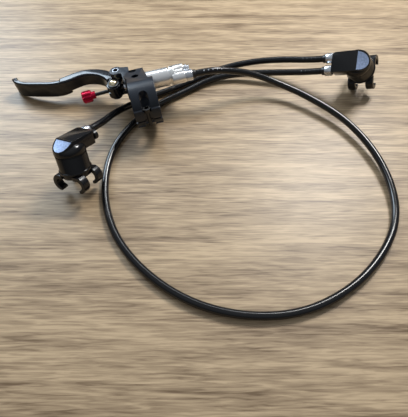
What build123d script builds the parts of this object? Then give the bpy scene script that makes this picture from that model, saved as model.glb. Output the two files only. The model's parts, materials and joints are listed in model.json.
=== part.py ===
from build123d import *
import os
from math import asin, atan2, cos, degrees, pi, radians, sin, sqrt, tan

"""A front brake for a bicycle, hydraulic, for the rims: one lever with its master cylinder, a long hose
laid down in a loop, a short crossover hose, and two slave cylinders that stand on their pad carriers.

Millimetres, +Z up, floor at Z = 0. The set lies as it would on a bench. The lever unit and the two slave
units are each drawn in a frame of their own and then placed.

Lever unit: X along the handlebar, Y from the bar towards the lever's pivot, Z up, origin on the bar axis.
Slave unit: Z along the piston, from the pad carrier up to the head, Y along the arm to the hose ports.
"""

FAR = 60.0              # where a cut or a cutting box ends, past everything in a unit

# Clamp on the handlebar
BAR_D = 22.2           # standard bar at the grips
CLAMP_W = 18.4          # along the bar
BAND_W = 6.1            # each of the two raised bands
BAND_R = 15.8           # outside of a band
WEB_R = 13.6            # outside of the recessed web between the bands
CLAMP_EDGE_R = 0.5
FRONT_BOLT_R = 1.5      # M3
REAR_BOLT_R = 1.25
BOLT_SLIP = 0.2
BOLT_TO_BAR = 1.8       # wall between the bar and the front bolt
BOLT_IN_BAND = 1.4      # at most, from a band's outside in to the front bolt
FRONT_BOLT_Y = -max(BAR_D / 2 + BOLT_TO_BAR + FRONT_BOLT_R, BAND_R - BOLT_IN_BAND)
REAR_BOLT_AT = (-2.8, 13.5)
LUG_WALL = 1.5          # in front of the front bolt
LUG_REACH = LUG_WALL + FRONT_BOLT_R - FRONT_BOLT_Y      # front face of the lug, from the bar axis
LUG_TOP = 5.5
LUG_BOTTOM = -10.0
LUG_CORNER_R = 3.0
LUG_SKIN = 1.9          # front wall of the lug between the bands
LUG_STEP = 2.0          # how far the lug lies lower between the bands
LUG_UNDER = 1.0         # and how far it is filled under its bottom
RECESS_BACK_Y = 3.0     # where the recess between the bands ends
SPLIT_Z = -3.6          # where the cap meets the bracket
SPLIT_GAP = 1.2
HEEL_HALF_W = 4.2       # heel of the cap, round the rear bolt
HEEL_PAST_BOLT = 3.9
HEEL_START_Y = 8.0
HEEL_RISE = 1.2         # from the lug's bottom
HEEL_GAP = 0.5          # to the cylinder
BODY_PAST_BOLT = 4.4    # the body's underside is cut away this far past the rear bolt
ARCH_R = 3.2            # notch in the cap's front
ARCH_HALF_W = 3.1
ARCH_OUT = 0.6          # its axis, in front of the lug
ARCH_DROP = 1.2         # and under the split
FRONT_POCKET_W = 5.6    # rounded pocket over the front bolt's head
FRONT_POCKET_L = 4.0    # between the centres of its ends
FRONT_POCKET_BACK = 1.2
FRONT_POCKET_DEPTH = 2.5
REAR_POCKET_R = 2.9
REAR_POCKET_TURN = 20
REAR_SEAT_Z = 4.6       # seat of the rear bolt's head
FRONT_HEAD_R = 2.6
FRONT_HEAD_H = 2.8
FRONT_KEY_AF = 2.5
REAR_HEAD_R = 2.2
REAR_HEAD_H = 2.4
REAR_KEY_AF = 2.0
KEY_FLOOR = 0.45        # share of a bolt head's height under its socket
BOLT_END_SHORT = 0.6    # from the lug's bottom to the front bolt's end

# Bracket body, ears and the lever's pivot
BODY_T = 19.0           # thickness of the body, up and down
BODY_EDGE_R = 0.5
BODY_FOOT_Y = -3.0      # the body starts here, within the clamp
BODY_SHOULDER = 0.4
BODY_RIGHT = [(5.9, 6.0), (3.2, 31.4), (-4.6, 31.0), (-8.4, 32.2)]
BODY_LEFT = [(-12.6, 25.4), (-11.9, 18.0), (-11.0, 14.0)]
BODY_BAR_WALL = 0.3
EAR_INSET = 0.8         # where the body's sides run into the ear's circle
SOCKET_WALL = 3.4       # round the cylinder
ROUND_START = 2.0       # the body's top is round from here on, past the cylinder's axis
EAR_FLAT = 1.5          # and flat from here to the ear's side
PIN_PROUD = 0.25
PIN_SHORT = 0.3
PIN_HOLE_DEPTH = 6.0
EAR_GAP = 12.4          # slot for the lever between the ears
EAR_R = 4.7
PIVOT = (-16.2, 30.3)
PIVOT_PIN_R = 2.4
PIVOT_PIN_HOLE_R = 1.2
PIVOT_BUSH_WALL = 0.9
SLOT_FACE_X = -8.2      # wall at the inner end of the lever's slot
SLOT_FRONT_Y = 14.9
LIGHT_HOLE_AT = (-4.2, 24.6)
LIGHT_HOLE_R = 2.9
LIGHT_HOLE_FLOOR = 2.5  # how far it goes into the cylinder's height

# Master cylinder
CYL_Y = 22.3
CYL_R = 6.8
CYL_BORE_R = 5.0
CYL_END_X = 22.0
HEAD_END_X = 33.0
PORT_SPACING = 9.0
HEAD_LOBE_R = PORT_SPACING / 2 - 0.1
GROOVE_W = 1.2
GROOVE_DEPTH = 0.9
STOP_RING_T = 0.9
STOP_RING_R = 3.3       # its open middle, for the pushrod
SOCKET_SHOULDER = 0.4   # how far the bracket's bore stands in from the cylinder's
HEAD_COLLAR_L = 3.4     # round collar of the head, before its lobes
LOBE_START = 1.4        # from the head's start
LOBE_EDGE_R = 0.7
BLEED_R = 2.2
BLEED_L = 4.4
BLEED_COLLAR_R = 2.9
BLEED_COLLAR_L = 2.6
BLEED_SOCKET_R = 1.3
BLEED_SOCKET_DEPTH = 2.0

# Piston, seal and spring in the master cylinder
RUNNING = 0.04          # radial clearance of every sliding fit
SEAL_T = 1.6
SEAL_SECTION = 1.2
PISTON_BACK_X = -6.9
PISTON_L = 10.0
CUP_R = 2.9
CUP_DEPTH = 3.4
SPRING_R = 3.2
SPRING_WIRE_R = 0.4
SPRING_TURNS = 5
SPRING_END_GAP = 0.3    # to the head at the end of the stroke

# Barrel, rod and knob
BARREL_AT = (-19.9, 21.6)
BARREL_R = 3.0
BARREL_BOTTOM = -6.2
HUB_T = 9.2             # lever hub, up and down
HUB_R = 5.4
HUB_PIVOT_R = 4.4
FLANGE_R = 4.3
FLANGE_T = 0.9
FLANGE_GAP = 0.2        # to the hub, above and below
BARREL_RIM = 0.8        # how far the barrel's foot stands out from its stem
DOME_R = 3.1
DOME_H = 2.0
ROD_R = 1.25
ROD_TIP_GAP = 0.35
ROD_BALL_R = 2.1
KNOB_X = -44.6          # outer face of the knob
KNOB_L = 7.2
KNOB_R = 4.4
KNOB_FLUTES = 8
KNOB_FLUTE_R = 1.1
KNOB_FLUTE_OUT = 0.3    # the flutes' axes, outside the knob
KNOB_BEVEL = 0.8
KNOB_END_WALL = 1.0
KNOB_NECK_L = 2.6
KNOB_NECK_R = 2.7
COLLAR_R = 2.5
COLLAR_L = 3.6
COLLAR_GAP = 1.5        # from the hub to the collar
PISTON_TRAVEL = 3.2     # what a full pull pushes the piston along

# Lever blade
ARM_PATH = [(-20.6, 29.5), (-25.0, 37.2), (-32.5, 42.6), (-42.0, 45.2), (-52.0, 43.4), (-60.5, 42.0)]
ARM_WIDTHS = [8.6, 8.2, 7.4, 7.0, 7.4, 5.4]
ARM_TOP = 4.6
ARM_BOTTOM = -5.4
BLADE_PATH = [(-54.5, 43.6), (-62.5, 42.3), (-71.0, 44.2), (-81.0, 48.0), (-89.5, 51.8), (-94.0, 55.8),
              (-96.2, 60.6)]
BLADE_WIDTHS = [3.2, 3.8, 3.4, 3.4, 3.4, 3.6, 4.2]
BLADE_TOP = 3.6
BLADE_BOTTOM = -8.9
HUB_EDGE_R = 0.6
ARM_EDGE_R = 1.5
BLADE_BEVEL = 0.8
EAR_ROOM = 1.2          # between the arm and the ears
ROD_ROOM_L = 14.0       # slot in the hub for the rod, each way from the barrel
ROD_ROOM_BACK = 2.6
ROD_ROOM_FRONT = 1.4
ROD_ROOM_UP = 0.7

# Slave units
SLEEVE_R = 10.0
SLAVE_BORE_R = 8.0
SLEEVE_FOOT_Z = 11.6
SLEEVE_L = 12.8
SLEEVE_FLANGE_H = 1.8
SLEEVE_FLANGE_REACH = 0.7
SLEEVE_FLANGE_EDGE_R = 0.4
SEAM_W = 0.8            # groove between the sleeve and the head
SEAM_DEPTH = 0.5
SLEEVE_TOP_Z = SLEEVE_FOOT_Z + SLEEVE_L
HEAD_R = 10.3
HEAD_H = 8.8
HEAD_TOP_Z = SLEEVE_TOP_Z + HEAD_H
ARM_RISE = 0.4          # from the sleeve's top to the underside of the arm
ARM_UNDER_Z = SLEEVE_TOP_Z + ARM_RISE
ARM_W = 15.2
ARM_END_Y = 16.6
ARM_CORNER_R = 2.2
HEAD_EDGE_R = 0.9
SLAVE_PORT_Z = (ARM_UNDER_Z + HEAD_TOP_Z) / 2
SLAVE_PORT_X = 4.7      # half the spacing of the two ports
SLAVE_DUCT_R = 1.1
CHAMBER_R = 7.0         # room in the head over the piston
FACET_FROM_Y = -1.0     # the sloped flat starts here and falls to the rounded end
FACET_TILT = 29.0
NUT_AF = 7.6
NUT_L = 5.2
NUT_SEAT_R = 3.2
NUT_SEAT_L = 2.6
NUT_ROUND = 1.08        # the hexagon's corners are turned down to this share of half its width
PLUG_R = 3.1
PLUG_L = 2.4
PLUG_SOCKET_R = 1.4
PLUG_SOCKET_DEPTH = 1.6

# Pad carrier and slave piston
CARRIER_GAP = 0.4       # from the sleeve's foot at rest
CARRIER_PLATE_T = 2.6
HOOK_SPAN = 19.0        # between the tips of the hooks, along X
HOOK_ROW = 13.4         # between the two rows, along Y
HOOK_W = 5.6            # along Y
HOOK_T = 3.0
HOOK_BOW = 3.6          # how far a hook bows out
HOOK_LIP = 2.0
HOOK_LIP_H = 1.8
HOOK_EDGE_R = 0.5
SLAVE_PISTON_L = 10.0
SLAVE_PISTON_WALL = 3.0
SLAVE_PISTON_END_T = 4.0
SLAVE_SEAL_SETBACK = 2.4
SLAVE_SEAL_SECTION = 1.5

# Hoses
HOSE_D = 5.0
HOSE_R = HOSE_D / 2

# Where the three units lie: origin, turn about Z, then the two small tilts
LEVER_UNIT = dict(at=(-35.2, 7.4), height=22.3, yaw=13.0, tip_down=6.0, nose_down=3.0)
LEFT_UNIT = dict(at=(-75.3, -54.0), yaw=-22.8, lean_x=-15.0, lean_y=-17.5, arm_turn=-7.0)
RIGHT_UNIT = dict(at=(135.1, 53.0), yaw=81.5, lean_x=-34.3, lean_y=-29.2, arm_turn=0.0)

# Hose routes between the fittings, chosen by eye; the runs at each fitting are added by the code
EXIT_RUN = 13.0
MAIN_ROUTE = [
    (23.6, 40.4, 23.5), (43.6, 45.4, 17.0), (64.6, 41.5, 10.5), (85.6, 29.4, 8.5),
    (110.1, 7.4, 7.0), (125.3, -20.6, 6.0), (132.0, -51.1, 4.7), (129.3, -80.1, 3.0),
    (114.1, -105.6, 2.5), (91.6, -126.9, 2.5), (62.6, -141.2, 2.5), (31.6, -143.6, 2.5),
    (1.6, -136.6, 2.5), (-24.6, -120.3, 2.5), (-46.4, -96.5, 2.5), (-58.2, -68.1, 2.5),
    (-61.2, -39.1, 2.5), (-57.2, -14.1, 2.5), (-45.6, 7.9, 2.5), (-29.4, 26.4, 2.5),
    (-8.9, 40.7, 2.5), (11.6, 55.9, 3.0), (34.6, 60.0, 5.0), (56.9, 58.0, 7.5),
    (75.6, 55.5, 9.8)]
CROSSOVER_ROUTE = [
    (-58.7, 2.9, 15.2), (-50.9, 20.4, 6.5), (-37.4, 34.0, 2.6), (-17.9, 44.5, 2.5),
    (1.1, 56.6, 2.5), (20.6, 68.4, 3.6), (45.1, 70.8, 8.4), (69.6, 67.4, 13.2)]


def along_x(radius, x0, x1, y=0.0, z=0.0):
    """A round bar along X, from x0 to x1."""
    return Pos((x0 + x1) / 2, y, z) * Rot(0, 90, 0) * Cylinder(radius, abs(x1 - x0))


def upright(radius, z0, z1, x=0.0, y=0.0):
    """A round bar along Z, from z0 to z1."""
    return Pos(x, y, (z0 + z1) / 2) * Cylinder(radius, abs(z1 - z0))


def block(x0, x1, y0, y1, z0, z1):
    """A box between two corners."""
    return Pos((x0 + x1) / 2, (y0 + y1) / 2, (z0 + z1) / 2) * Box(x1 - x0, y1 - y0, z1 - z0)


def raised(face, z0, z1):
    """A flat face drawn up from z0 to z1."""
    return extrude(Pos(0, 0, z0) * face, z1 - z0, dir=(0, 0, 1))


def level_edges(solid, *levels):
    """The edges of a solid that lie flat at those heights."""
    return [edge for edge in solid.edges()
            if any(abs(edge.center().Z - level) < 0.01 and abs((edge % 0.5).Z) < 0.01 for level in levels)]


def soften(solid, radius, *levels):
    """The solid with its outline rounded off at those heights."""
    return fillet(level_edges(solid, *levels), radius)


def strip(points, widths):
    """A flat face of varying width about a smooth centre line."""
    line = Spline(*points)
    left, right = [], []
    for index, width in enumerate(widths):
        share = index / (len(widths) - 1)
        heading = line % share
        side = Vector(-heading.Y, heading.X) * (width / 2)
        left.append(line @ share + side)
        right.append(line @ share - side)
    edges = [Spline(*left), Line(left[-1], right[-1]), Spline(*right[::-1]), Line(right[0], left[0])]
    return Face(Wire(edges))


def hull_of_two(at_a, radius_a, at_b, radius_b):
    """The flat shape that two discs make with the tangents between them."""
    dx, dy = at_b[0] - at_a[0], at_b[1] - at_a[1]
    length = sqrt(dx * dx + dy * dy)
    heading = atan2(dy, dx)
    swing = pi / 2 + asin((radius_b - radius_a) / length)
    corners = []
    for sign, (at, radius) in ((1, (at_a, radius_a)), (1, (at_b, radius_b)),
                               (-1, (at_b, radius_b)), (-1, (at_a, radius_a))):
        turn = heading + sign * swing
        corners.append((at[0] + radius * cos(turn), at[1] + radius * sin(turn)))
    shape = Pos(*at_a) * Circle(radius_a) + Pos(*at_b) * Circle(radius_b)
    return shape + make_face(Polyline(*corners, close=True))


# The lever unit, in its own frame


def clamp_profile():
    """The clamp seen along the bar: the ring, with a lug in front for the bolt."""
    lug_h = LUG_TOP - LUG_BOTTOM
    lug = Pos(-LUG_REACH / 2, (LUG_TOP + LUG_BOTTOM) / 2) * RectangleRounded(LUG_REACH, lug_h, LUG_CORNER_R)
    return Circle(BAND_R) + lug


def clamp_hoop():
    """Both halves of the clamp as one, with the recess between the bands and the bar's bore."""
    side = Plane.YZ.offset(-CLAMP_W / 2)
    hoop = extrude(side * clamp_profile(), CLAMP_W)
    rims = [edge for edge in hoop.edges() if abs(abs(edge.center().X) - CLAMP_W / 2) < 0.01]
    hoop = fillet(rims, CLAMP_EDGE_R)
    recess_w = CLAMP_W - 2 * BAND_W
    recess = along_x(BAND_R + LUG_REACH, -recess_w / 2, recess_w / 2) - along_x(WEB_R, -FAR, FAR)
    floor_of_recess = block(-recess_w, recess_w, -LUG_REACH + LUG_SKIN, 0, LUG_BOTTOM - LUG_UNDER,
                            LUG_TOP - LUG_STEP)
    recess = recess & block(-FAR, FAR, -FAR, RECESS_BACK_Y, -FAR, FAR)
    return hoop - (recess - floor_of_recess)


def bracket_plan():
    """The bracket's body and ear from above."""
    half = CLAMP_W / 2
    px, py = PIVOT
    into_ear = EAR_R - EAR_INSET
    body = make_face(Polyline(
        (half, BODY_FOOT_Y), (half - BODY_SHOULDER, 0.0), *BODY_RIGHT, (px, py + into_ear),
        (px, py - into_ear), *BODY_LEFT, (-half, BAR_D / 2 + BODY_BAR_WALL), (-half, BODY_FOOT_Y),
        close=True))
    return body + Pos(px, py) * Circle(EAR_R)


def lever_bracket():
    """Upper half of the clamp, the cylinder's socket and the two ears, milled from one block."""
    split = SPLIT_Z + SPLIT_GAP / 2
    upper = clamp_hoop() & block(-FAR, FAR, -FAR, FAR, split, FAR)
    body = soften(raised(bracket_plan(), -BODY_T / 2, BODY_T / 2), BODY_EDGE_R, -BODY_T / 2, BODY_T / 2)
    body -= block(-FAR, FAR, -FAR, REAR_BOLT_AT[1] + BODY_PAST_BOLT, -FAR, split)
    rounded = along_x(CYL_R + SOCKET_WALL, -FAR, FAR, CYL_Y)
    rounded += block(-FAR, FAR, -FAR, CYL_Y + ROUND_START, -FAR, FAR)
    rounded += block(-FAR, SLOT_FACE_X + EAR_FLAT, -FAR, FAR, -FAR, FAR)
    body = body & rounded
    part = upper + body
    part -= along_x(BAR_D / 2, -FAR, FAR)
    part -= block(-FAR, SLOT_FACE_X, SLOT_FRONT_Y, FAR, -EAR_GAP / 2, EAR_GAP / 2)
    part -= along_x(CYL_R, SLOT_FACE_X + STOP_RING_T, FAR, CYL_Y)
    part -= along_x(CYL_BORE_R - SOCKET_SHOULDER, -FAR, FAR, CYL_Y)
    part -= upright(PIVOT_PIN_R, -FAR, FAR, *PIVOT)
    part -= upright(LIGHT_HOLE_R, CYL_R - LIGHT_HOLE_FLOOR, FAR, *LIGHT_HOLE_AT)
    pocket = Pos(0, FRONT_BOLT_Y + FRONT_POCKET_BACK, LUG_TOP - FRONT_POCKET_DEPTH)
    part -= extrude(pocket * SlotCenterToCenter(FRONT_POCKET_L, FRONT_POCKET_W, rotation=90), FAR)
    part -= upright(FRONT_BOLT_R + BOLT_SLIP, -FAR, FAR, 0, FRONT_BOLT_Y)
    rx, ry = REAR_BOLT_AT
    part -= upright(REAR_BOLT_R + BOLT_SLIP, -FAR, FAR, rx, ry)
    part -= extrude(Pos(rx, ry, REAR_SEAT_Z) * RegularPolygon(REAR_POCKET_R, 6, rotation=REAR_POCKET_TURN), FAR)
    return part


def bar_clamp_cap():
    """Lower half of the clamp, held by a bolt on each side of the bar."""
    split = SPLIT_Z - SPLIT_GAP / 2
    lower = clamp_hoop() & block(-FAR, FAR, -FAR, FAR, -FAR, split)
    rx, ry = REAR_BOLT_AT
    lower += block(rx - HEEL_HALF_W, rx + HEEL_HALF_W, HEEL_START_Y, ry + HEEL_PAST_BOLT,
                   LUG_BOTTOM + HEEL_RISE, split)
    lower -= along_x(CYL_R + HEEL_GAP, -FAR, FAR, CYL_Y)
    lower -= along_x(BAR_D / 2, -FAR, FAR)
    lower -= upright(FRONT_BOLT_R, -FAR, FAR, 0, FRONT_BOLT_Y)
    lower -= upright(REAR_BOLT_R, -FAR, FAR, rx, ry)
    return lower - along_x(ARCH_R, -ARCH_HALF_W, ARCH_HALF_W, -LUG_REACH - ARCH_OUT, SPLIT_Z - ARCH_DROP)


def cap_screw(radius, head_r, head_h, key_af, seat_z, end_z, at):
    """A socket head screw pointing down, its head resting at seat_z."""
    screw = upright(radius, end_z, seat_z, *at) + upright(head_r, seat_z, seat_z + head_h, *at)
    key = RegularPolygon(key_af / 2, 6, major_radius=False)
    return screw - extrude(Pos(at[0], at[1], seat_z + head_h * KEY_FLOOR) * key, head_h)


def clamp_bolt_front():
    return cap_screw(FRONT_BOLT_R, FRONT_HEAD_R, FRONT_HEAD_H, FRONT_KEY_AF, LUG_TOP - FRONT_POCKET_DEPTH,
                     LUG_BOTTOM + BOLT_END_SHORT, (0, FRONT_BOLT_Y))


def clamp_bolt_rear():
    return cap_screw(REAR_BOLT_R, REAR_HEAD_R, REAR_HEAD_H, REAR_KEY_AF, REAR_SEAT_Z,
                     LUG_BOTTOM + HEEL_RISE, REAR_BOLT_AT)


def lever_pivot_pin():
    """A hollow pin pressed through both ears."""
    half = BODY_T / 2
    pin = upright(PIVOT_PIN_R, -half + PIN_SHORT, half + PIN_PROUD, *PIVOT)
    return pin - upright(PIVOT_PIN_HOLE_R, half - PIN_HOLE_DEPTH, FAR, *PIVOT)


def pivot_bush():
    """A plain bearing pressed in the lever, which turns on the pin."""
    bore = PIVOT_PIN_R + RUNNING
    return upright(bore + PIVOT_BUSH_WALL, -HUB_T / 2, HUB_T / 2, *PIVOT) - upright(bore, -FAR, FAR, *PIVOT)


def brake_lever():
    """Hub, curved arm and the tall finger blade with its hooked tip, forged in one."""
    hub = raised(hull_of_two(PIVOT, HUB_PIVOT_R, BARREL_AT, HUB_R), -HUB_T / 2, HUB_T / 2)
    hub = soften(hub, HUB_EDGE_R, -HUB_T / 2, HUB_T / 2)
    arm = raised(strip(ARM_PATH, ARM_WIDTHS), ARM_BOTTOM, ARM_TOP)
    arm = soften(arm, ARM_EDGE_R, ARM_BOTTOM, ARM_TOP)
    arm -= upright(EAR_R + EAR_ROOM, HUB_T / 2, FAR, *PIVOT)
    arm -= upright(EAR_R + EAR_ROOM, -FAR, -HUB_T / 2, *PIVOT)
    blade = raised(strip(BLADE_PATH, BLADE_WIDTHS), BLADE_BOTTOM, BLADE_TOP)
    blade = chamfer(level_edges(blade, BLADE_BOTTOM, BLADE_TOP), BLADE_BEVEL)
    lever = hub + arm + blade
    lever -= upright(PIVOT_PIN_R + RUNNING + PIVOT_BUSH_WALL, -FAR, FAR, *PIVOT)
    lever -= upright(BARREL_R + RUNNING, -FAR, FAR, *BARREL_AT)
    bx, by = BARREL_AT
    tall = ROD_R + ROD_ROOM_UP
    return lever - block(bx - ROD_ROOM_L, bx + ROD_ROOM_L, by - ROD_R - ROD_ROOM_BACK,
                         by + ROD_R + ROD_ROOM_FRONT, -tall, tall)


def rod_place():
    """The rod's own frame: X along the rod, from the barrel towards the piston's cup."""
    bx, by = BARREL_AT
    reach = PISTON_BACK_X + CUP_DEPTH - bx
    return Pos(bx, by, 0) * Rot(0, 0, degrees(atan2(CYL_Y - by, reach)))


def adjuster_barrel():
    """The cross barrel that the rod is screwed through, with a flange on the lever's hub."""
    face = HUB_T / 2 + FLANGE_GAP
    barrel = upright(BARREL_R, BARREL_BOTTOM, face, *BARREL_AT)
    barrel += upright(FLANGE_R, face, face + FLANGE_T, *BARREL_AT)
    barrel += upright(BARREL_R + BARREL_RIM, BARREL_BOTTOM, -face, *BARREL_AT)
    return barrel - rod_place() * along_x(ROD_R + RUNNING, -FAR, FAR)


def barrel_dome():
    """The domed screw head on top of the barrel."""
    foot = HUB_T / 2 + FLANGE_GAP + FLANGE_T
    ball_r = (DOME_R ** 2 + DOME_H ** 2) / (2 * DOME_H)
    ball = Pos(BARREL_AT[0], BARREL_AT[1], foot + DOME_H - ball_r) * Sphere(ball_r)
    return ball & upright(DOME_R, foot, FAR, *BARREL_AT)


def rod_tip_x():
    return PISTON_BACK_X + CUP_DEPTH - ROD_TIP_GAP - BARREL_AT[0]


def adjuster_rod():
    """The thin threaded rod from the knob to its round end in the piston's cup."""
    tip = rod_tip_x()
    outer = KNOB_X - BARREL_AT[0]
    rod = along_x(ROD_R, outer + KNOB_END_WALL, tip - ROD_BALL_R / 2)
    return rod_place() * (rod + Pos(tip - ROD_BALL_R, 0, 0) * Sphere(ROD_BALL_R))


def adjuster_knob():
    """The fluted knob that winds the rod in and out, with a plain neck."""
    outer = KNOB_X - BARREL_AT[0]
    knob = along_x(KNOB_R, outer, outer + KNOB_L)
    knob = chamfer(knob.edges().filter_by(GeomType.CIRCLE), KNOB_BEVEL)
    for index in range(KNOB_FLUTES):
        flute = along_x(KNOB_FLUTE_R, -FAR, outer + KNOB_L, 0, KNOB_R + KNOB_FLUTE_OUT)
        knob -= Rot(index * 360 / KNOB_FLUTES, 0, 0) * flute
    knob += along_x(KNOB_NECK_R, outer + KNOB_L, outer + KNOB_L + KNOB_NECK_L)
    knob -= along_x(ROD_R, outer + KNOB_END_WALL, FAR)
    return rod_place() * knob


def pushrod_collar():
    """The bright lock collar on the rod, between the barrel and the cylinder."""
    start = HUB_R + COLLAR_GAP
    collar = along_x(COLLAR_R, start, start + COLLAR_L) - along_x(ROD_R, 0, 30)
    return rod_place() * collar


def master_cylinder():
    """The polished tube in the bracket's socket."""
    start = SLOT_FACE_X + STOP_RING_T
    tube = along_x(CYL_R, start, CYL_END_X, CYL_Y)
    groove = along_x(CYL_R + 2, CYL_END_X - GROOVE_W, CYL_END_X, CYL_Y)
    groove -= along_x(CYL_R - GROOVE_DEPTH, CYL_END_X - 4, CYL_END_X + 4, CYL_Y)
    return tube - groove - along_x(CYL_BORE_R, -40, CYL_END_X + 1, CYL_Y)


def piston_stop_ring():
    """The ring at the cylinder's mouth that the piston rests against."""
    ring = along_x(CYL_R, SLOT_FACE_X, SLOT_FACE_X + STOP_RING_T, CYL_Y)
    ring = ring & along_x(CYL_BORE_R - SOCKET_SHOULDER, -40, 40, CYL_Y)
    return ring - along_x(STOP_RING_R, -40, 40, CYL_Y)


def cylinder_head():
    """The closed end of the cylinder: a short round collar, then two lobes for the ports."""
    head = along_x(CYL_R + 0.1, CYL_END_X, CYL_END_X + HEAD_COLLAR_L, CYL_Y)
    start = CYL_END_X + LOBE_START
    for side in (-1, 1):
        lobe = along_x(HEAD_LOBE_R, start, HEAD_END_X, CYL_Y + side * PORT_SPACING / 2)
        head += fillet(lobe.edges().filter_by(GeomType.CIRCLE).sort_by(Axis.X)[-1], LOBE_EDGE_R)
    head += block(start, HEAD_END_X - 1.0, CYL_Y - 4, CYL_Y + 4, -3.6, 3.0)
    head -= along_x(CYL_BORE_R - 2.6, CYL_END_X - 1, CYL_END_X + 4, CYL_Y)
    near = CYL_Y - PORT_SPACING / 2
    head -= along_x(1.0, CYL_END_X - 1, HEAD_END_X + 1, near + 1.2)
    return head


def hex_nut(length, bore_r):
    """A hexagon nut along X from the origin, with a round collar where the hose enters."""
    nut = extrude(Plane.YZ * RegularPolygon(NUT_AF / 2, 6, major_radius=False), length)
    nut = nut & along_x(NUT_AF / 2 * NUT_ROUND, -1, length + 1)
    nut += along_x(NUT_SEAT_R, length, length + NUT_SEAT_L)
    return nut - along_x(bore_r, -1, length + NUT_SEAT_L + 1)


def master_hose_nut():
    return Pos(HEAD_END_X, CYL_Y - PORT_SPACING / 2, 0) * hex_nut(NUT_L, HOSE_R)


def bleed_screw():
    """The bleed screw in the other lobe, with a socket in its end."""
    far = CYL_Y + PORT_SPACING / 2
    end = HEAD_END_X + BLEED_L
    screw = along_x(BLEED_COLLAR_R, HEAD_END_X, HEAD_END_X + BLEED_COLLAR_L, far)
    screw += along_x(BLEED_R, HEAD_END_X, end, far)
    socket = Plane.YZ.offset(end - BLEED_SOCKET_DEPTH) * Pos(far, 0) * RegularPolygon(BLEED_SOCKET_R, 6)
    return screw - extrude(socket, BLEED_L)


def master_piston():
    back = PISTON_BACK_X
    piston = along_x(CYL_BORE_R - RUNNING, back, back + PISTON_L, CYL_Y)
    groove_x = back + PISTON_L - 1.6 - SEAL_T
    groove = along_x(CYL_BORE_R + 1, groove_x, groove_x + SEAL_T, CYL_Y)
    piston -= groove - along_x(CYL_BORE_R - SEAL_SECTION, -40, 40, CYL_Y)
    cup = along_x(CUP_R, back - 1, back + CUP_DEPTH, CYL_Y)
    return piston - cup


def master_piston_seal():
    groove_x = PISTON_BACK_X + PISTON_L - 1.6 - SEAL_T
    ring = along_x(CYL_BORE_R - RUNNING / 2, groove_x, groove_x + SEAL_T, CYL_Y)
    return ring - along_x(CYL_BORE_R - SEAL_SECTION, -40, 40, CYL_Y)


def return_spring():
    """The coil that pushes the piston back, drawn as short as the full stroke leaves it."""
    start = PISTON_BACK_X + PISTON_L + SPRING_WIRE_R
    length = CYL_END_X - PISTON_TRAVEL - SPRING_END_GAP - SPRING_WIRE_R - start
    path = Helix(length / SPRING_TURNS, length, SPRING_R)
    coil = sweep(Plane(path @ 0, z_dir=path % 0) * Circle(SPRING_WIRE_R), path, is_frenet=True)
    return Pos(start, CYL_Y, 0) * Rot(0, 90, 0) * coil


# A slave unit, in its own frame


def slave_head():
    """The forged head: a round cap over the sleeve, and an arm with the two hose ports."""
    cap = upright(HEAD_R, SLEEVE_TOP_Z, HEAD_TOP_Z)
    arm = block(-ARM_W / 2, ARM_W / 2, 0, ARM_END_Y, ARM_UNDER_Z, HEAD_TOP_Z)
    neck_y = ARM_END_Y - ARM_W / 2
    shoulder = raised(hull_of_two((0, 0), HEAD_R, (0, neck_y), ARM_W / 2), ARM_UNDER_Z, HEAD_TOP_Z)
    head = cap + arm + shoulder
    head = fillet(head.edges().filter_by(Axis.Z).group_by(Axis.Y)[-1], ARM_CORNER_R)
    head = soften(head, HEAD_EDGE_R, HEAD_TOP_Z)
    flat = Pos(0, FACET_FROM_Y, HEAD_TOP_Z) * Rot(FACET_TILT, 0, 0) * block(-FAR, FAR, -FAR, 0, 0, FAR)
    head -= flat
    head -= upright(CHAMBER_R, SLEEVE_TOP_Z - 1, SLAVE_PORT_Z - SLAVE_DUCT_R / 2)
    for side in (-1, 1):
        duct = Pos(side * SLAVE_PORT_X, ARM_END_Y, SLAVE_PORT_Z) * Rot(90, 0, 0)
        head -= duct * Cylinder(SLAVE_DUCT_R, 2 * (ARM_END_Y - CHAMBER_R / 2))
    return head


def slave_sleeve():
    """The round sleeve that the piston slides in."""
    sleeve = upright(SLEEVE_R, SLEEVE_FOOT_Z, SLEEVE_TOP_Z - SEAM_W)
    sleeve += upright(SLEEVE_R - SEAM_DEPTH, SLEEVE_FOOT_Z, SLEEVE_TOP_Z)
    flange = upright(SLEEVE_R + SLEEVE_FLANGE_REACH, SLEEVE_FOOT_Z, SLEEVE_FOOT_Z + SLEEVE_FLANGE_H)
    sleeve += soften(flange, SLEEVE_FLANGE_EDGE_R, SLEEVE_FOOT_Z, SLEEVE_FOOT_Z + SLEEVE_FLANGE_H)
    return sleeve - upright(SLAVE_BORE_R, 0, 60)


def slave_piston():
    foot = SLEEVE_FOOT_Z - CARRIER_GAP
    piston = upright(SLAVE_BORE_R - RUNNING, foot, foot + SLAVE_PISTON_L)
    groove_z = foot + SLAVE_PISTON_L - SLAVE_SEAL_SETBACK - SEAL_T
    groove = upright(SLAVE_BORE_R + 1, groove_z, groove_z + SEAL_T)
    piston -= groove - upright(SLAVE_BORE_R - SLAVE_SEAL_SECTION, 0, 60)
    return piston - upright(SLAVE_BORE_R - SLAVE_PISTON_WALL, foot + SLAVE_PISTON_END_T, 60)


def slave_piston_seal():
    groove_z = SLEEVE_FOOT_Z - CARRIER_GAP + SLAVE_PISTON_L - SLAVE_SEAL_SETBACK - SEAL_T
    ring = upright(SLAVE_BORE_R - RUNNING / 2, groove_z, groove_z + SEAL_T)
    return ring - upright(SLAVE_BORE_R - SLAVE_SEAL_SECTION, 0, 60)


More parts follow.
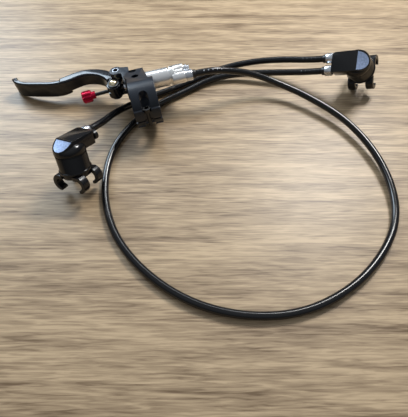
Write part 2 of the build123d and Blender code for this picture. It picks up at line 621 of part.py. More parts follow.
def hook():
    """One hook of the pad carrier: it bows outwards from the plate and turns in at its tip."""
    top = SLEEVE_FOOT_Z - CARRIER_GAP
    under = top - CARRIER_PLATE_T
    inner = HOOK_T - HOOK_BOW
    edges = [Line((-5, top), (0, top)), ThreePointArc((0, top), (HOOK_BOW, top / 2), (0, 0)),
             Line((0, 0), (-HOOK_LIP, 0)), Line((-HOOK_LIP, 0), (-HOOK_LIP, HOOK_LIP_H)),
             ThreePointArc((-HOOK_LIP, HOOK_LIP_H), (-inner, top / 2), (-HOOK_LIP, under)),
             Line((-HOOK_LIP, under), (-5, under)), Line((-5, under), (-5, top))]
    solid = raised(Face(Wire(edges)), 0, HOOK_W)
    back = [edge for edge in solid.edges().filter_by(GeomType.CIRCLE) if edge.center().X > -inner]
    solid = fillet(back, HOOK_EDGE_R)
    return Pos(HOOK_SPAN / 2, HOOK_W / 2, 0) * Rot(90, 0, 0) * solid


def pad_carrier():
    """The plate on the piston's end, with four hooks that grip a pad's back."""
    top = SLEEVE_FOOT_Z - CARRIER_GAP
    under = top - CARRIER_PLATE_T
    carrier = raised(RectangleRounded(HOOK_SPAN - 1.0, HOOK_ROW + HOOK_W - 2, 4.0), under, top)
    carrier += upright(SLEEVE_R - 0.6, under, top)
    for side in (-1, 1):
        claw = Pos(0, side * HOOK_ROW / 2, 0) * hook()
        carrier += claw + mirror(claw, about=Plane.YZ)
    return carrier


def slave_nut(side):
    """A hose nut on the arm's end, at the port on one side."""
    return Pos(side * SLAVE_PORT_X, ARM_END_Y, SLAVE_PORT_Z) * Rot(0, 0, 90) * hex_nut(NUT_L, HOSE_R)


def port_plug():
    """The plug in the port that has no hose, with a socket for a key."""
    socket = Plane.YZ.offset(PLUG_L - PLUG_SOCKET_DEPTH) * RegularPolygon(PLUG_SOCKET_R, 6)
    plug = along_x(PLUG_R, 0, PLUG_L) - extrude(socket, PLUG_L)
    return Pos(SLAVE_PORT_X, ARM_END_Y, SLAVE_PORT_Z) * Rot(0, 0, 90) * plug


# Placing the units


def lever_unit_place():
    """Turned about Z, then the lever's tip and the cylinder's side dropped a little."""
    spec = LEVER_UNIT
    turn = Rot(0, 0, spec["yaw"]) * Rot(0, -spec["tip_down"], 0) * Rot(-spec["nose_down"], 0, 0)
    return Pos(spec["at"][0], spec["at"][1], spec["height"]) * turn


def slave_unit_place(spec):
    """Turned about Z and leant over, then set down with its lowest hook on the floor."""
    turn = Rot(0, 0, spec["yaw"]) * Rot(0, spec["lean_x"], 0) * Rot(spec["lean_y"], 0, 0)
    low = (turn * pad_carrier()).bounding_box().min.Z
    return Pos(spec["at"][0], spec["at"][1], -low) * turn


def port_of(place, at, heading):
    """A fitting's mouth and the way out of it, in the model's frame."""
    mouth = place * Pos(*at)
    ahead = place * Pos(*(Vector(*at) + Vector(*heading)))
    return mouth.position, (ahead.position - mouth.position).normalized()


def hose(name, start, route, end):
    """A tube of straight runs joined by tangent arcs, each as large as its two runs allow."""
    points = [start[0], start[0] + start[1] * EXIT_RUN] + [Vector(*p) for p in route]
    points += [end[0] + end[1] * EXIT_RUN, end[0]]
    radii = []
    for before, here, after in zip(points, points[1:], points[2:]):
        turn = (here - before).get_angle(after - here)
        shorter = min((here - before).length, (after - here).length)
        radii.append(0.45 * shorter / tan(radians(turn / 2)))
    path = FilletPolyline(*points, radius=radii)
    tube = sweep(Plane(path @ 0, z_dir=path % 0) * Circle(HOSE_R), path)
    print(name, "radii", [round(r) for r in radii])
    print(name, "length %.1f, volume %.0f, section times length %.0f"
          % (path.length, tube.volume, pi * HOSE_R ** 2 * path.length))
    return tube


def build():
    """Every node's solid in the model's frame."""
    unit = lever_unit_place()
    left = slave_unit_place(LEFT_UNIT)
    right = slave_unit_place(RIGHT_UNIT)
    nodes = {}
    for maker in (lever_bracket, bar_clamp_cap, clamp_bolt_front, clamp_bolt_rear, lever_pivot_pin,
                  pivot_bush, brake_lever, adjuster_barrel, barrel_dome, adjuster_rod, adjuster_knob,
                  pushrod_collar, master_cylinder, piston_stop_ring, cylinder_head, master_hose_nut,
                  bleed_screw, master_piston, master_piston_seal, return_spring):
        nodes[maker.__name__] = unit * maker()
    for side, place in (("left", left), ("right", right)):
        for maker in (slave_sleeve, slave_piston, slave_piston_seal, pad_carrier):
            nodes[side + "_" + maker.__name__] = place * maker()
    left = left * Rot(0, 0, LEFT_UNIT["arm_turn"])
    right = right * Rot(0, 0, RIGHT_UNIT["arm_turn"])
    nodes["left_slave_head"] = left * slave_head()
    nodes["right_slave_head"] = right * slave_head()
    nodes["left_hose_nut"] = left * slave_nut(-1)
    nodes["left_port_plug"] = left * port_plug()
    nodes["right_main_nut"] = right * slave_nut(-1)
    nodes["right_crossover_nut"] = right * slave_nut(1)
    mouth = ARM_END_Y + NUT_L
    master_port = port_of(unit, (HEAD_END_X + NUT_L, CYL_Y - PORT_SPACING / 2, 0), (1, 0, 0))
    left_port = port_of(left, (-SLAVE_PORT_X, mouth, SLAVE_PORT_Z), (0, 1, 0))
    right_low = port_of(right, (-SLAVE_PORT_X, mouth, SLAVE_PORT_Z), (0, 1, 0))
    right_high = port_of(right, (SLAVE_PORT_X, mouth, SLAVE_PORT_Z), (0, 1, 0))
    nodes["main_hose"] = hose("main_hose", master_port, MAIN_ROUTE, right_low)
    nodes["crossover_hose"] = hose("crossover_hose", left_port, CROSSOVER_ROUTE, right_high)
    return nodes


def main():
    os.makedirs("parts", exist_ok=True)
    for name, solid in build().items():
        solid.label = name
        export_step(solid, os.path.join("parts", name + ".step"))


if __name__ == "__main__":
    main()
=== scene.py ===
# %% [markdown]
# A hydraulic front brake for a bicycle, laid out on a wooden table. The metal pieces arrive as finished
# solids in a fixed frame, so this lesson is about what they are made of: black anodised and painted
# aluminium, polished tube, plated nuts, a red knob, and two glossy hoses that lie where their stiffness lets
# them. The frame is in metres. Sizes of details are given in millimetres, and MM turns them into metres.

# %% Load the solids
import json
from math import acos, atan2, cos, pi, radians, sin, tan

import bmesh
import bpy
from mathutils import Matrix, Vector


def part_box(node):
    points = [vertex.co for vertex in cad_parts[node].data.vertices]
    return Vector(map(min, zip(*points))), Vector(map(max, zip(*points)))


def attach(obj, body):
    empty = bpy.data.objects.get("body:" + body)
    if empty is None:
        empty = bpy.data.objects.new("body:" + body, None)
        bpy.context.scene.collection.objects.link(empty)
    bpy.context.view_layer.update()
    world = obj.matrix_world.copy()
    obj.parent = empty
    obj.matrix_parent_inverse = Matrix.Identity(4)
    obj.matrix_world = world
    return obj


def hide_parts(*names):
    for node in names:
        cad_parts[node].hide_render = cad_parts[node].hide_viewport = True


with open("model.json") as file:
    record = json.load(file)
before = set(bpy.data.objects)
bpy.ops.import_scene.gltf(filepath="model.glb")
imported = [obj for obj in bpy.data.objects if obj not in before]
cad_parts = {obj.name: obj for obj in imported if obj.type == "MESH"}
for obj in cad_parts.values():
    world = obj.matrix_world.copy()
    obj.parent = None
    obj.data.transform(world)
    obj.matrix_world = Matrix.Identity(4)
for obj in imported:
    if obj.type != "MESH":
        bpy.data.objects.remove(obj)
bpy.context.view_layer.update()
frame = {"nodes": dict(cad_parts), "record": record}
MM = 0.001

# %% [markdown]
# Three units lie at odd angles: the lever unit and the two wheel cylinders. Details are easier to place in a
# unit's own directions. Turned parents would do that, but a finished piece has to sit unturned at the
# origin, so each unit gets a matrix that turns the points of its meshes. The lever unit's comes from its
# clamp's axis and its lever's pivot. A wheel cylinder's comes from its post's axis and the two fittings at
# the end of its arm.

# %% The units' own directions


def own_frame(origin, z_axis, towards):
    """A matrix with Z along an axis and Y towards a point, as far as Z lets it."""
    up = Vector(z_axis).normalized()
    ahead = Vector(towards) - Vector(origin)
    ahead = (ahead - up * ahead.dot(up)).normalized()
    side = ahead.cross(up)
    turn = Matrix((side, ahead, up)).transposed().to_4x4()
    return Matrix.Translation(Vector(origin)) @ turn


def middle(node):
    """The middle of a solid's box."""
    low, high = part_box(node)
    return (low + high) / 2


mounts = {mount["name"]: mount for mount in frame["record"]["mounts"]}
joints = {joint["name"]: joint for joint in frame["record"]["behaviour"]["joints"]}
bar_axis = Vector(mounts["bar_clamp"]["axis"])
bar_middle = Vector(mounts["bar_clamp"]["pos_m"])
pivot_axis = Vector(joints["lever_pull"]["axis"])
LEVER_UNIT = own_frame(bar_middle, pivot_axis, bar_middle + pivot_axis.cross(bar_axis))
LEFT_UNIT = own_frame(mounts["left_post"]["pos_m"], mounts["left_post"]["axis"],
                      (middle("left_hose_nut") + middle("left_port_plug")) / 2)
RIGHT_UNIT = own_frame(mounts["right_post"]["pos_m"], mounts["right_post"]["axis"],
                       (middle("right_main_nut") + middle("right_crossover_nut")) / 2)
print("lever unit at", [round(v / MM, 1) for v in LEVER_UNIT.translation])

# %% [markdown]
# The photograph was taken by hand from the near side of the table, looking about 56 degrees down. A camera
# can be moved by eye until the pictures agree. Here its focal length and place come from fitting the known
# 22.2 mm clamp and 5 mm hoses instead, because every other size was measured with the same camera.

# %% Camera
IMAGE_W = 408
FOCAL_PIXELS = 417
SENSOR_MM = 36.0
CAMERA_AT = (0.0066, -0.2221, 0.226)
CAMERA_TILT = radians(34)
NEAR_LIMIT = 10 * MM


def add(name, data):
    """A new object in the scene."""
    thing = bpy.data.objects.new(name, data)
    bpy.context.scene.collection.objects.link(thing)
    return thing


camera = add("camera", bpy.data.cameras.new("camera"))
camera.location = CAMERA_AT
camera.rotation_euler = (CAMERA_TILT, 0, 0)
camera.data.sensor_fit = "HORIZONTAL"
camera.data.sensor_width = SENSOR_MM
camera.data.lens = FOCAL_PIXELS / IMAGE_W * SENSOR_MM
camera.data.clip_start = NEAR_LIMIT
bpy.context.scene.camera = camera
print("lens in mm:", round(camera.data.lens, 1))

# %% [markdown]
# Every material here is built from the same few nodes: a noise, a range that its values are spread over, and
# a mix of two colours. Each would take five lines wherever it is used, so each gets a short function. A Mix
# node has sockets for every kind of data under the same names, so the colour's sockets are called by their
# number.

# %% Helpers for the trees of materials
COLOUR_A, COLOUR_B, COLOUR_OUT = 6, 7, 2


def fresh_material(name):
    """A new material with its tree and its shader."""
    material = bpy.data.materials.new(name)
    material.use_nodes = True
    return material, material.node_tree, material.node_tree.nodes["Principled BSDF"]


def object_place(tree):
    """The place on the object, in metres, as a socket."""
    return tree.nodes.new("ShaderNodeTexCoord").outputs["Object"]


def noise(tree, place, scale, detail, distortion=0.0):
    """The value of a noise that is read at a place."""
    texture = tree.nodes.new("ShaderNodeTexNoise")
    texture.inputs["Scale"].default_value = scale
    texture.inputs["Detail"].default_value = detail
    texture.inputs["Distortion"].default_value = distortion
    tree.links.new(place, texture.inputs["Vector"])
    return texture.outputs["Fac"]


def spread_over(tree, value, given=(0.0, 1.0), wanted=(0.0, 1.0)):
    """A value moved from the range that is given to the one that is wanted."""
    step = tree.nodes.new("ShaderNodeMapRange")
    step.inputs["From Min"].default_value, step.inputs["From Max"].default_value = given
    step.inputs["To Min"].default_value, step.inputs["To Max"].default_value = wanted
    tree.links.new(value, step.inputs["Value"])
    return step.outputs["Result"]


def mixed_colour(tree, factor, first, second):
    """Goes from the first colour to the second. Each may be a socket or three numbers."""
    mix = tree.nodes.new("ShaderNodeMix")
    mix.data_type = "RGBA"
    tree.links.new(factor, mix.inputs["Factor"])
    for number, colour in ((COLOUR_A, first), (COLOUR_B, second)):
        if isinstance(colour, bpy.types.NodeSocket):
            tree.links.new(colour, mix.inputs[number])
        else:
            mix.inputs[number].default_value = (*colour, 1)
    return mix.outputs[COLOUR_OUT]


# %% [markdown]
# The brake lies on a wooden table. Black glossy parts show what is around them more than their own colour,
# so the table matters: its brown is what their lower sides reflect. The grain could be a wave texture, but
# that repeats too evenly. Two noises that are stretched along the boards, one broad and one fine, don't.

# %% The wooden table
FLOOR_SIZE = 3.0
WOOD_DARK = (0.150, 0.095, 0.050)
WOOD_PALE = (0.520, 0.385, 0.240)
WOOD_ROUGHNESS = 0.42
GRAIN_TURN = radians(3)
GRAIN_STRETCH = (9, 130, 1)
GRAIN_LAYERS = ((1.0, 6), (6.0, 10))
GRAIN_DISTORTION = 0.6
GRAIN_RANGE = (0.70, 1.22)


def wood():
    """Long grain: each layer is a noise with a scale and a detail, and their sum sets the colour."""
    material, tree, shader = fresh_material("table_wood")
    shader.inputs["Roughness"].default_value = WOOD_ROUGHNESS
    stretch = tree.nodes.new("ShaderNodeMapping")
    stretch.inputs["Rotation"].default_value = (0, 0, GRAIN_TURN)
    stretch.inputs["Scale"].default_value = GRAIN_STRETCH
    tree.links.new(object_place(tree), stretch.inputs["Vector"])
    both = tree.nodes.new("ShaderNodeMath")
    both.operation = "ADD"
    for number, (scale, detail) in enumerate(GRAIN_LAYERS):
        layer = noise(tree, stretch.outputs["Vector"], scale, detail, GRAIN_DISTORTION)
        tree.links.new(layer, both.inputs[number])
    grain = spread_over(tree, both.outputs["Value"], GRAIN_RANGE)
    tree.links.new(mixed_colour(tree, grain, WOOD_DARK, WOOD_PALE), shader.inputs["Base Color"])
    return material


def table_top():
    """One square at the height on which the brake lies."""
    mesh = bpy.data.meshes.new("table_top")
    half = FLOOR_SIZE / 2
    corners = [(-half, -half, 0), (half, -half, 0), (half, half, 0), (-half, half, 0)]
    mesh.from_pydata(corners, [], [(0, 1, 2, 3)])
    mesh.materials.append(wood())
    return add("table_top", mesh)


floor = table_top()
print("table in metres:", [round(side, 2) for side in floor.dimensions])

# %% [markdown]
# The light in the photograph comes from behind the brake. Area lamps are used rather than points, because a
# hose or a tube shows each lamp as a streak of the lamp's own shape: a cool panel at the upper left, like a
# window, the main one behind on the right, which throws the shadows towards the camera, and a long strip
# above. The sky grows brighter with height, so that the round black pieces don't look flat.

# %% Lamps and sky
LAMP_AIM = Vector((0, 0, 0.01))
SKY_COLOUR = (0.90, 0.95, 1.0, 1)
SKY_STRENGTH = 0.24
SKY_HEIGHTS = (-0.1, 1.0)
SKY_SHARES = (0.3, 1.7)


def lamp(name, at, size, watts, colour):
    """A rectangular panel that faces the brake."""
    data = bpy.data.lights.new(name, "AREA")
    data.shape = "RECTANGLE"
    data.size, data.size_y = size
    data.energy = watts
    data.color = colour
    panel = add(name, data)
    panel.location = at
    panel.rotation_euler = (LAMP_AIM - Vector(at)).to_track_quat("-Z", "Y").to_euler()


def soft_sky():
    """A pale sky whose strength follows the height of the direction that is seen."""
    world = bpy.data.worlds.new("sky")
    bpy.context.scene.world = world
    world.use_nodes = True
    tree = world.node_tree
    background = tree.nodes["Background"]
    background.inputs["Color"].default_value = SKY_COLOUR
    where = tree.nodes.new("ShaderNodeTexCoord")
    parts = tree.nodes.new("ShaderNodeSeparateXYZ")
    tree.links.new(where.outputs["Generated"], parts.inputs["Vector"])
    strengths = [share * SKY_STRENGTH for share in SKY_SHARES]
    strength = spread_over(tree, parts.outputs["Z"], SKY_HEIGHTS, strengths)
    tree.links.new(strength, background.inputs["Strength"])


lamp("main_panel", at=(0.30, 0.42, 0.62), size=(0.22, 0.18), watts=5.0, colour=(1.0, 0.97, 0.93))
lamp("window_panel", at=(-0.55, 0.60, 0.50), size=(0.40, 0.30), watts=4.5, colour=(0.72, 0.86, 1.0))
lamp("ceiling_strip", at=(-0.10, 0.52, 0.66), size=(1.3, 0.07), watts=2.6, colour=(0.90, 0.96, 1.0))
soft_sky()
bpy.context.scene.view_settings.view_transform = "Standard"
print("lamps:", len(bpy.data.lights))

# %% [markdown]
# A real finish is never one even colour. Two layers do most of the work: a fine bump, which is the skin of a
# paint or the grain of a blasted metal, and a slow change of roughness and colour, which is handling and
# polish. A picture of a worn surface would do the same, but noise on object coordinates needs no unwrapping.

# %% One function for coated and bare finishes
SKIN_DETAIL = 3
SKIN_DEPTH = 0.2 * MM
HANDLING_SCALE, HANDLING_DETAIL = 90, 5
LEAST_ROUGHNESS = 0.03
DRIFT_SHARE, DRIFT_LIFT = 1.35, 0.002


def relief(tree, height, strength, depth):
    """Bumps the material's shader by a height."""
    bump = tree.nodes.new("ShaderNodeBump")
    bump.inputs["Strength"].default_value = strength
    bump.inputs["Distance"].default_value = depth
    tree.links.new(height, bump.inputs["Height"])
    tree.links.new(bump.outputs["Normal"], tree.nodes["Principled BSDF"].inputs["Normal"])


def finish(name, colour, roughness, metallic=0.0, grain=1200, bump=0.04, spread=0.08):
    """A material with a fine bump, uneven roughness and a slight drift of colour."""
    material, tree, shader = fresh_material(name)
    shader.inputs["Metallic"].default_value = metallic
    place = object_place(tree)
    if bump:
        relief(tree, noise(tree, place, grain, SKIN_DETAIL), bump, SKIN_DEPTH)
    handling = noise(tree, place, HANDLING_SCALE, HANDLING_DETAIL)
    limits = (max(LEAST_ROUGHNESS, roughness - spread), roughness + spread)
    tree.links.new(spread_over(tree, handling, wanted=limits), shader.inputs["Roughness"])
    drifted = [c * DRIFT_SHARE + DRIFT_LIFT for c in colour]
    tree.links.new(mixed_colour(tree, handling, colour, drifted), shader.inputs["Base Color"])
    return material


# %% [markdown]
# Turned metal carries fine rings round its axis. They could be cut into the mesh, but they are far finer
# than its faces, so they are a bump. The rings are noise that is squeezed along the axis: one Mapping node
# turns the coordinates into the unit's own directions, and a second one stretches only the first of them.

# %% Turned metal
RING_SQUEEZE = (2600, 25, 25)
RING_DETAIL = 2
RING_STRENGTH = 0.12
RING_DEPTH = 0.05 * MM


def turned(name, colour, roughness, unit):
    """Bare metal with rings round the unit's X axis."""
    material = finish(name, colour, roughness, metallic=1.0, bump=0.0, spread=0.05)
    tree = material.node_tree
    turn = tree.nodes.new("ShaderNodeMapping")
    turn.vector_type = "TEXTURE"
    turn.inputs["Location"].default_value = unit.translation
    turn.inputs["Rotation"].default_value = unit.to_euler()
    squeeze = tree.nodes.new("ShaderNodeMapping")
    squeeze.inputs["Scale"].default_value = RING_SQUEEZE
    tree.links.new(object_place(tree), turn.inputs["Vector"])
    tree.links.new(turn.outputs["Vector"], squeeze.inputs["Vector"])
    tool_marks = noise(tree, squeeze.outputs["Vector"], 1, RING_DETAIL)
    relief(tree, tool_marks, RING_STRENGTH, RING_DEPTH)
    return material


# %% [markdown]
# Some pieces carry two colours: the blasted flat on a cylinder's black head, whose blue-grey is a painted
# reflection of the cool window light, the dark collar behind a bright nut, and the pin's hollow, painted near
# black as painted shade. Two material slots would do it, but a piece here wears one slot. So one material
# does both. It reads an attribute of the mesh, which is one on the faces of the second colour, and goes over
# to the second colour, roughness and metal there. A Mix node's plain values have their own numbers, too.

# %% A second colour on one piece: a finish, and painted light
SECOND = "second_finish"
VALUE_A, VALUE_B, VALUE_OUT = 2, 3, 0
SPOT_SCALE, SPOT_DETAIL = 900, 6


def two_tone_and_painted_light(material, colour, roughness, metallic, mottle=0.0):
    """Adds a second colour, roughness and metal for the tagged faces: a finish on some, painted light on
    others.
    """
    tree = material.node_tree
    shader = tree.nodes["Principled BSDF"]
    tag = tree.nodes.new("ShaderNodeAttribute")
    tag.attribute_name = SECOND
    spots = noise(tree, object_place(tree), SPOT_SCALE, SPOT_DETAIL)
    dark = [c * (1 - mottle) for c in colour]
    pale = [c * (1 + mottle) for c in colour]
    paint = shader.inputs["Base Color"].links[0].from_socket
    both = mixed_colour(tree, tag.outputs["Fac"], paint, mixed_colour(tree, spots, dark, pale))
    tree.links.new(both, shader.inputs["Base Color"])
    for label, second in (("Roughness", roughness), ("Metallic", metallic)):
        socket = shader.inputs[label]
        blend = tree.nodes.new("ShaderNodeMix")
        tree.links.new(tag.outputs["Fac"], blend.inputs["Factor"])
        if socket.is_linked:
            tree.links.new(socket.links[0].from_socket, blend.inputs[VALUE_A])
        else:
            blend.inputs[VALUE_A].default_value = socket.default_value
        blend.inputs[VALUE_B].default_value = second
        tree.links.new(blend.outputs[VALUE_OUT], socket)
    return material


def tag_faces(piece, unit, wanted):
    """Marks the faces whose middle, in the unit's own millimetres, passes the test."""
    back = unit.inverted()
    mesh = piece.data
    tag = mesh.attributes.new(SECOND, "FLOAT", "FACE")
    count = 0
    for face in mesh.polygons:
        if wanted((back @ face.center) / MM):
            tag.data[face.index].value = 1.0
            count += 1
    print(piece.name, "faces in the second finish:", count)


# %% [markdown]
# The brake shows six looks: satin black on the milled bracket, glossy black on the lever, the wheel
# cylinders, their hooked carriers and the hoses, polished and plated metal, brass, and red. They could be
# set up one by one in the editor. A dictionary that is keyed by the record's slots keeps them side by side,
# so that the blacks can be compared: they differ in their roughness and grain more than in their colour.

# %% The finishes of this brake
FINISHES = {
    "bracket": finish("satin_anodised", (0.006, 0.010, 0.018), 0.34, grain=2600, bump=0.08),
    "lever_paint": finish("gloss_lever_paint", (0.003, 0.004, 0.007), 0.17, grain=500, bump=0.03,
                          spread=0.05),
    # The flat's second colour is blasted metal; its blue-grey is a painted reflection of the cool window
    # light.
    "slave_paint": two_tone_and_painted_light(
        finish("gloss_cylinder_paint", (0.002, 0.002, 0.003), 0.15, grain=600, bump=0.05, spread=0.05),
        colour=(0.30, 0.38, 0.56), roughness=0.38, metallic=0.6, mottle=0.6),
    "polished": turned("polished_tube", (0.86, 0.89, 0.92), 0.28, LEVER_UNIT),
    # The second colour is near black: the collars' own colour, and painted shade in the pin's hollow.
    "nut_plate": two_tone_and_painted_light(
        finish("bright_plating", (0.62, 0.64, 0.68), 0.26, metallic=1.0, grain=1800, bump=0.03),
        colour=(0.010, 0.010, 0.012), roughness=0.3, metallic=0.0),
    "steel": finish("spring_steel", (0.50, 0.50, 0.52), 0.30, metallic=1.0),
    "black_steel": finish("blackened_steel", (0.006, 0.006, 0.007), 0.30, grain=2200, bump=0.06),
    "brass": finish("polished_brass", (0.78, 0.68, 0.46), 0.20, metallic=1.0, grain=1500, bump=0.02),
    "red_knob": finish("red_anodised", (0.42, 0.004, 0.035), 0.26, metallic=0.7, grain=2400, bump=0.05),
    "hose": finish("glossy_hose", (0.002, 0.002, 0.003), 0.17, grain=350, bump=0.02, spread=0.04),
    "seal": finish("seal_rubber", (0.020, 0.020, 0.020), 0.60),
    "piston_metal": turned("turned_piston", (0.60, 0.60, 0.62), 0.28, LEVER_UNIT),
    "carrier": finish("moulded_carrier", (0.003, 0.003, 0.004), 0.24, grain=1400, bump=0.08, spread=0.05),
}
slot_of = {entry["node"]: entry["material_slot"] for entry in frame["record"]["subparts"]}


def wear(piece, slot):
    """Gives a piece the finish of a slot."""
    piece.data.materials.clear()
    piece.data.materials.append(FINISHES[slot])


for name, node in frame["nodes"].items():
    wear(node, slot_of[name])
print("finishes:", len(FINISHES))

# %% [markdown]
# A milled or forged edge is never a knife edge: it is broken by a tumbler or a file, and that thin bevel
# catches the light. Bevelling by hand would have to be done again after each change of the solid. Here a
# copy of the solid's mesh has its doubles merged and its flat triangles joined, then the Bevel modifier
# rounds every edge that is sharper than the limit. Smooth shading stops at what stays sharp.

# %% Broken edges
SHARP = radians(32)
MERGE_WITHIN = 0.002 * MM
FLAT_WITHIN = radians(0.5)
EDGES = {
    "brake_lever": 0.25, "cylinder_head": 0.20, "left_slave_sleeve": 0.15, "right_slave_sleeve": 0.15,
    "left_pad_carrier": 0.20, "right_pad_carrier": 0.20, "adjuster_knob": 0.15,
}
body_of_node = {}
for body, names in frame["record"]["behaviour"]["bodies"].items():
    for name in names:
        body_of_node[name] = body


def merged_copy(name, ending):
    """A copy of a solid with its doubles merged, ready for a Bevel or a Boolean."""
    mesh = frame["nodes"][name].data.copy()
    work = bmesh.new()
    work.from_mesh(mesh)
    bmesh.ops.remove_doubles(work, verts=work.verts, dist=MERGE_WITHIN)
    bmesh.ops.dissolve_limit(work, angle_limit=FLAT_WITHIN, verts=work.verts, edges=work.edges)
    work.to_mesh(mesh)
    work.free()
    return add(name + ending, mesh)


def rounded(piece, width, segments=2):
    """Adds a Bevel to every edge that is sharper than the limit."""
    bevel = piece.modifiers.new("bevel", "BEVEL")
    bevel.width = width
    bevel.segments = segments
    bevel.limit_method = "ANGLE"
    bevel.angle_limit = SHARP
    bevel.use_clamp_overlap = True


def shown_mesh(thing):
    """The plain mesh that an object shows with its modifiers."""
    seen = thing.evaluated_get(bpy.context.evaluated_depsgraph_get())
    return bpy.data.meshes.new_from_object(seen)


def shade(mesh):
    """Smooth faces, with a hard line where two faces meet at more than the limit."""
    work = bmesh.new()
    work.from_mesh(mesh)
    for face in work.faces:
        face.smooth = True
    for edge in work.edges:
        edge.smooth = len(edge.link_faces) == 2 and edge.calc_face_angle(0) < SHARP
    work.to_mesh(mesh)
    work.free()


def settled(piece, node):
    """Turns the modifiers' result into the piece's own mesh, shades it, and stands it in for its solid."""
    mesh = shown_mesh(piece)
    piece.modifiers.clear()
    piece.data = mesh
    shade(mesh)
    wear(piece, slot_of[node])
    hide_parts(node)
    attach(piece, body_of_node[node])
    return piece


def broken_edges(name, width):
    """A copy of a solid with its sharp edges rounded, which stands for it."""
    piece = merged_copy(name, "_finished")
    rounded(piece, width)
    return settled(piece, name)


for name, millimetres in EDGES.items():
    piece = broken_edges(name, millimetres * MM)
    print(name, "faces", len(piece.data.polygons))

# %% [markdown]
# The heads, the bracket and the pin below have forms that are milled, forged or turned. Each is put together
# like the real work: an outline that is drawn up, a profile that is turned, and one solid that is joined to
# another or cut from it. Sculpting would be quicker for one look, but these forms keep their true rounds.

# %% Simple solids in a unit's own directions
WELD_WITHIN = 0.001 * MM
TURN_STEPS = 72


def placed(name, unit, verts, faces):
    """A mesh object whose points are given in a unit's own millimetres."""
    mesh = bpy.data.meshes.new(name)
    mesh.from_pydata([unit @ (Vector(v) * MM) for v in verts], [], faces)
    work = bmesh.new()
    work.from_mesh(mesh)
    bmesh.ops.remove_doubles(work, verts=work.verts, dist=WELD_WITHIN)
    bmesh.ops.recalc_face_normals(work, faces=work.faces)
    work.to_mesh(mesh)
    work.free()
    return add(name, mesh)


def prism(name, unit, plan, low, high, lean=0.0):
    """An outline in X and Y, drawn up from low to high; the top may lean along Y."""
    count = len(plan)
    verts = [(x, y, low) for x, y in plan] + [(x, y, high + lean * y) for x, y in plan]
    faces = [list(range(count))[::-1], list(range(count, 2 * count))]
    faces += [[i, (i + 1) % count, (i + 1) % count + count, i + count] for i in range(count)]
    return placed(name, unit, verts, faces)


def lathe(name, unit, profile, centre=(0, 0), steps=TURN_STEPS):
    """A closed profile of radius and height, turned round a line along the unit's Z."""
    verts, faces = [], []
    for step in range(steps):
        turn = 2 * pi * step / steps
        verts += [(centre[0] + radius * cos(turn), centre[1] + radius * sin(turn), height)
                  for radius, height in profile]
    count = len(profile)
    for step in range(steps):
        here, there = step * count, (step + 1) % steps * count
        for i in range(count):
            j = (i + 1) % count
            faces.append([here + i, here + j, there + j, there + i])
    return placed(name, unit, verts, faces)


def arc(x, y, radius, start, end, steps=14):
    """Points on an arc, in degrees from start to end."""
    return [(x + radius * cos(radians(start + (end - start) * i / steps)),
             y + radius * sin(radians(start + (end - start) * i / steps))) for i in range(steps + 1)]


def combine(piece, tool, operation):
    """Joins or cuts a piece with another solid, which is used up."""
    step = piece.modifiers.new("boolean", "BOOLEAN")
    step.operation = operation
    step.solver = "EXACT"
    step.object = tool
    mesh = shown_mesh(piece)
    piece.modifiers.clear()
    piece.data = mesh
    bpy.data.objects.remove(tool)
    return piece


# %% [markdown]
# The forged head of a wheel cylinder is a bar with a round end that lies on a domed cap, with a flat blasted
# on its end. It is built from two simple solids, a prism and a turned cap, and a Boolean modifier joins
# them. A second Boolean takes the flat off, and a Bevel rounds what is left. The flat is then sunk within a
# rim. An inset does that on the flat's own faces, so the rim follows its outline. The flat's blue-grey
# colour is a painted reflection of the cool window light. Heights are from the post's middle.

# %% The two heads
BAR_HALF_W = 7.6
BAR_END_Y = 16.6
BAR_CORNER_R = 2.2
BAR_LOW_Z, BAR_TOP_Z = 6.4, 14.7
CAP_R = 10.3
CAP_LOW_Z, CAP_TOP_Z = 5.9, 12.1
CAP_DOME_R = 4.2
CAP_CHAMFER = 0.4
HEAD_EDGE_R = 0.7
FLAT_FROM_Y = -1.6
FLAT_TILT = radians(31)
FLAT_RIM = 0.9
FLAT_SUNK = 0.15
CUT_REACH = 20
NEAR_AXIS = 0.0001
SAME_WAY = 0.9995
END_STEPS, CORNER_STEPS, DOME_STEPS = 28, 6, 8


def head_bar(name, unit):
    """The bar, whose round end reaches the cap's edge."""
    inner, top = BAR_HALF_W - BAR_CORNER_R, BAR_END_Y - BAR_CORNER_R
    plan = arc(0, BAR_HALF_W - CAP_R, BAR_HALF_W, 180, 360, END_STEPS)
    plan += arc(inner, top, BAR_CORNER_R, 0, 90, CORNER_STEPS)
    plan += arc(-inner, top, BAR_CORNER_R, 90, 180, CORNER_STEPS)
    return prism(name + "_bar", unit, plan, BAR_LOW_Z, BAR_TOP_Z)


def head_cap(name, unit):
    """The domed cap under the bar, on the post's axis."""
    profile = [(NEAR_AXIS, CAP_LOW_Z), (CAP_R - CAP_CHAMFER, CAP_LOW_Z), (CAP_R, CAP_LOW_Z + CAP_CHAMFER)]
    profile += arc(CAP_R - CAP_DOME_R, CAP_TOP_Z - CAP_DOME_R, CAP_DOME_R, 0, 90, DOME_STEPS)
    profile.append((NEAR_AXIS, CAP_TOP_Z))
    return lathe(name + "_cap", unit, profile)


def flat_cutter(name, unit):
    """A block whose sloped underside is the flat."""
    far_y, above = FLAT_FROM_Y - CUT_REACH, BAR_TOP_Z + CUT_REACH
    side = [(FLAT_FROM_Y, BAR_TOP_Z), (FLAT_FROM_Y, above), (far_y, above),
            (far_y, BAR_TOP_Z - CUT_REACH * tan(FLAT_TILT))]
    verts = [(x, y, z) for x in (-CUT_REACH, CUT_REACH) for y, z in side]
    faces = [(0, 1, 2, 3), (7, 6, 5, 4), (0, 4, 5, 1), (1, 5, 6, 2), (2, 6, 7, 3), (3, 7, 4, 0)]
    return placed(name + "_flat", unit, verts, faces)


